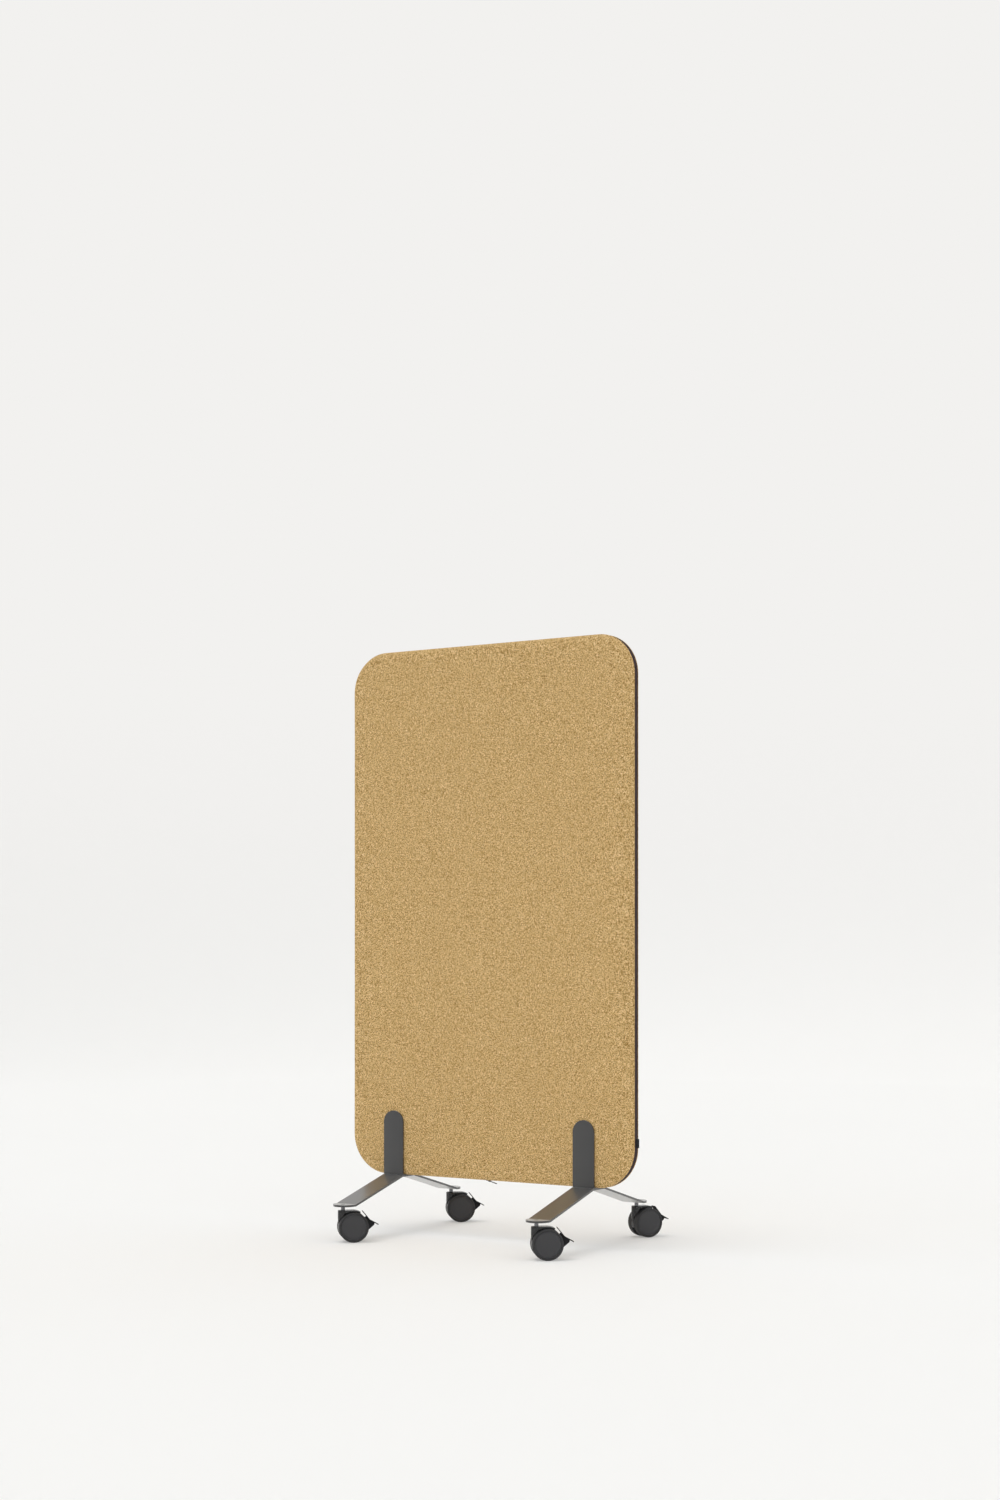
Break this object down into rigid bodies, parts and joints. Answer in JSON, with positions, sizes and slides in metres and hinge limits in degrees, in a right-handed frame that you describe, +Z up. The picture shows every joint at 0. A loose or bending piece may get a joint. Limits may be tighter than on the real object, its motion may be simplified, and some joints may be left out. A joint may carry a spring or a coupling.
{
  "type": "mobile acoustic screen",
  "caption": "Free-standing upholstered acoustic screen with rounded corners and a zipped edge, held in bent steel feet on braked swivel casters.",
  "frame": {"origin": "on the floor under the middle of the whole footprint; the panel's middle plane stands 26.5 mm in front of it, because the casters trail backwards", "axes": "+X to the right as seen from the front, +Y from the front to the back, +Z up"},
  "size_m": [0.8487, 0.5852, 1.4999],
  "materials": {
    "mustard_fabric": "matte",
    "pad_foam": "matte",
    "wool_core": "matte",
    "plywood": "matte",
    "zip_tape": "matte",
    "zip_metal": "satin",
    "black_ribbon": "matte",
    "graphite_coat": "satin",
    "zinc_steel": "satin",
    "brass": "satin",
    "black_plastic": "gloss",
    "charcoal_plastic": "satin",
    "tread_rubber": "matte"
  },
  "bodies": {
    "screen": {"acoustic_core": "wool_core", "frame_bottom_rail": "plywood", "frame_top_rail": "plywood", "frame_left_stile": "plywood", "frame_right_stile": "plywood", "front_pad": "pad_foam", "back_pad": "pad_foam", "front_cover": "mustard_fabric", "back_cover": "mustard_fabric", "zip_tape": "zip_tape", "label_tab": "black_ribbon", "left_foot_bar": "graphite_coat", "left_front_tongue": "graphite_coat", "left_back_tongue": "graphite_coat", "left_lower_insert": "brass", "left_upper_insert": "brass", "left_lower_screw": "zinc_steel", "left_upper_screw": "zinc_steel", "right_foot_bar": "graphite_coat", "right_front_tongue": "graphite_coat", "right_back_tongue": "graphite_coat", "right_lower_insert": "brass", "right_upper_insert": "brass", "right_lower_screw": "zinc_steel", "right_upper_screw": "zinc_steel", "front_left_stem": "zinc_steel", "front_right_stem": "zinc_steel", "back_left_stem": "zinc_steel", "back_right_stem": "zinc_steel"},
    "zip_carriage": {"zip_slider": "zip_metal"},
    "zip_pull_tab": {"zip_pull": "zip_metal"},
    "front_left_caster": {"front_left_housing": "black_plastic", "front_left_axle": "zinc_steel"},
    "front_left_rocker": {"front_left_brake_lever": "black_plastic"},
    "front_left_left_roller": {"front_left_left_wheel": "charcoal_plastic", "front_left_left_tyre": "tread_rubber"},
    "front_left_right_roller": {"front_left_right_wheel": "charcoal_plastic", "front_left_right_tyre": "tread_rubber"},
    "front_right_caster": {"front_right_housing": "black_plastic", "front_right_axle": "zinc_steel"},
    "front_right_rocker": {"front_right_brake_lever": "black_plastic"},
    "front_right_left_roller": {"front_right_left_wheel": "charcoal_plastic", "front_right_left_tyre": "tread_rubber"},
    "front_right_right_roller": {"front_right_right_wheel": "charcoal_plastic", "front_right_right_tyre": "tread_rubber"},
    "back_left_caster": {"back_left_housing": "black_plastic", "back_left_axle": "zinc_steel"},
    "back_left_rocker": {"back_left_brake_lever": "black_plastic"},
    "back_left_left_roller": {"back_left_left_wheel": "charcoal_plastic", "back_left_left_tyre": "tread_rubber"},
    "back_left_right_roller": {"back_left_right_wheel": "charcoal_plastic", "back_left_right_tyre": "tread_rubber"},
    "back_right_caster": {"back_right_housing": "black_plastic", "back_right_axle": "zinc_steel"},
    "back_right_rocker": {"back_right_brake_lever": "black_plastic"},
    "back_right_left_roller": {"back_right_left_wheel": "charcoal_plastic", "back_right_left_tyre": "tread_rubber"},
    "back_right_right_roller": {"back_right_right_wheel": "charcoal_plastic", "back_right_right_tyre": "tread_rubber"}
  },
  "joints": [
    {"name": "zip_slide", "type": "slide", "parent": "screen", "child": "zip_carriage", "axis": [1, 0, 0], "range_m": [-0.24, 0]},
    {"name": "zip_pull_swing", "type": "hinge", "parent": "zip_carriage", "child": "zip_pull_tab", "pos_m": [-0.005, -0.0265, 0.14705], "axis": [0, 1, 0], "range_deg": [0, 152]},
    {"name": "front_left_swivel", "type": "hinge", "parent": "screen", "child": "front_left_caster", "pos_m": [-0.285, -0.2665, 0.07], "axis": [0, 0, 1], "continuous": true},
    {"name": "front_left_left_spin", "type": "hinge", "parent": "front_left_caster", "child": "front_left_left_roller", "pos_m": [-0.27778, -0.23798, 0.0375], "axis": [-0.6947, 0.7193, 0], "continuous": true},
    {"name": "front_left_right_spin", "type": "hinge", "parent": "front_left_caster", "child": "front_left_right_roller", "pos_m": [-0.25625, -0.26028, 0.0375], "axis": [-0.6947, 0.7193, 0], "continuous": true},
    {"name": "front_left_brake", "type": "hinge", "parent": "front_left_caster", "child": "front_left_rocker", "pos_m": [-0.24724, -0.23004, 0.054], "axis": [-0.6947, 0.7193, 0], "range_deg": [0, 16]},
    {"name": "front_right_swivel", "type": "hinge", "parent": "screen", "child": "front_right_caster", "pos_m": [0.285, -0.2665, 0.07], "axis": [0, 0, 1], "continuous": true},
    {"name": "front_right_left_spin", "type": "hinge", "parent": "front_right_caster", "child": "front_right_left_roller", "pos_m": [0.29467, -0.23872, 0.0375], "axis": [-0.6293, 0.7771, 0], "continuous": true},
    {"name": "front_right_right_spin", "type": "hinge", "parent": "front_right_caster", "child": "front_right_right_roller", "pos_m": [0.31418, -0.26281, 0.0375], "axis": [-0.6293, 0.7771, 0], "continuous": true},
    {"name": "front_right_brake", "type": "hinge", "parent": "front_right_caster", "child": "front_right_rocker", "pos_m": [0.32579, -0.23347, 0.054], "axis": [-0.6293, 0.7771, 0], "range_deg": [0, 16]},
    {"name": "back_left_swivel", "type": "hinge", "parent": "screen", "child": "back_left_caster", "pos_m": [-0.285, 0.2135, 0.07], "axis": [0, 0, 1], "continuous": true},
    {"name": "back_left_left_spin", "type": "hinge", "parent": "back_left_caster", "child": "back_left_left_roller", "pos_m": [-0.2763, 0.2416, 0.0375], "axis": [-0.6561, 0.7547, 0], "continuous": true},
    {"name": "back_left_right_spin", "type": "hinge", "parent": "back_left_caster", "child": "back_left_right_roller", "pos_m": [-0.25596, 0.2182, 0.0375], "axis": [-0.6561, 0.7547, 0], "continuous": true},
    {"name": "back_left_brake", "type": "hinge", "parent": "back_left_caster", "child": "back_left_rocker", "pos_m": [-0.24539, 0.24793, 0.054], "axis": [-0.6561, 0.7547, 0], "range_deg": [0, 16]},
    {"name": "back_right_swivel", "type": "hinge", "parent": "screen", "child": "back_right_caster", "pos_m": [0.285, 0.2135, 0.07], "axis": [0, 0, 1], "continuous": true},
    {"name": "back_right_left_spin", "type": "hinge", "parent": "back_right_caster", "child": "back_right_left_roller", "pos_m": [0.2851, 0.24291, 0.0375], "axis": [-0.848, 0.5299, 0], "continuous": true},
    {"name": "back_right_right_spin", "type": "hinge", "parent": "back_right_caster", "child": "back_right_right_roller", "pos_m": [0.31139, 0.22649, 0.0375], "axis": [-0.848, 0.5299, 0], "continuous": true},
    {"name": "back_right_brake", "type": "hinge", "parent": "back_right_caster", "child": "back_right_rocker", "pos_m": [0.31281, 0.25801, 0.054], "axis": [-0.848, 0.5299, 0], "range_deg": [0, 16]}
  ]
}
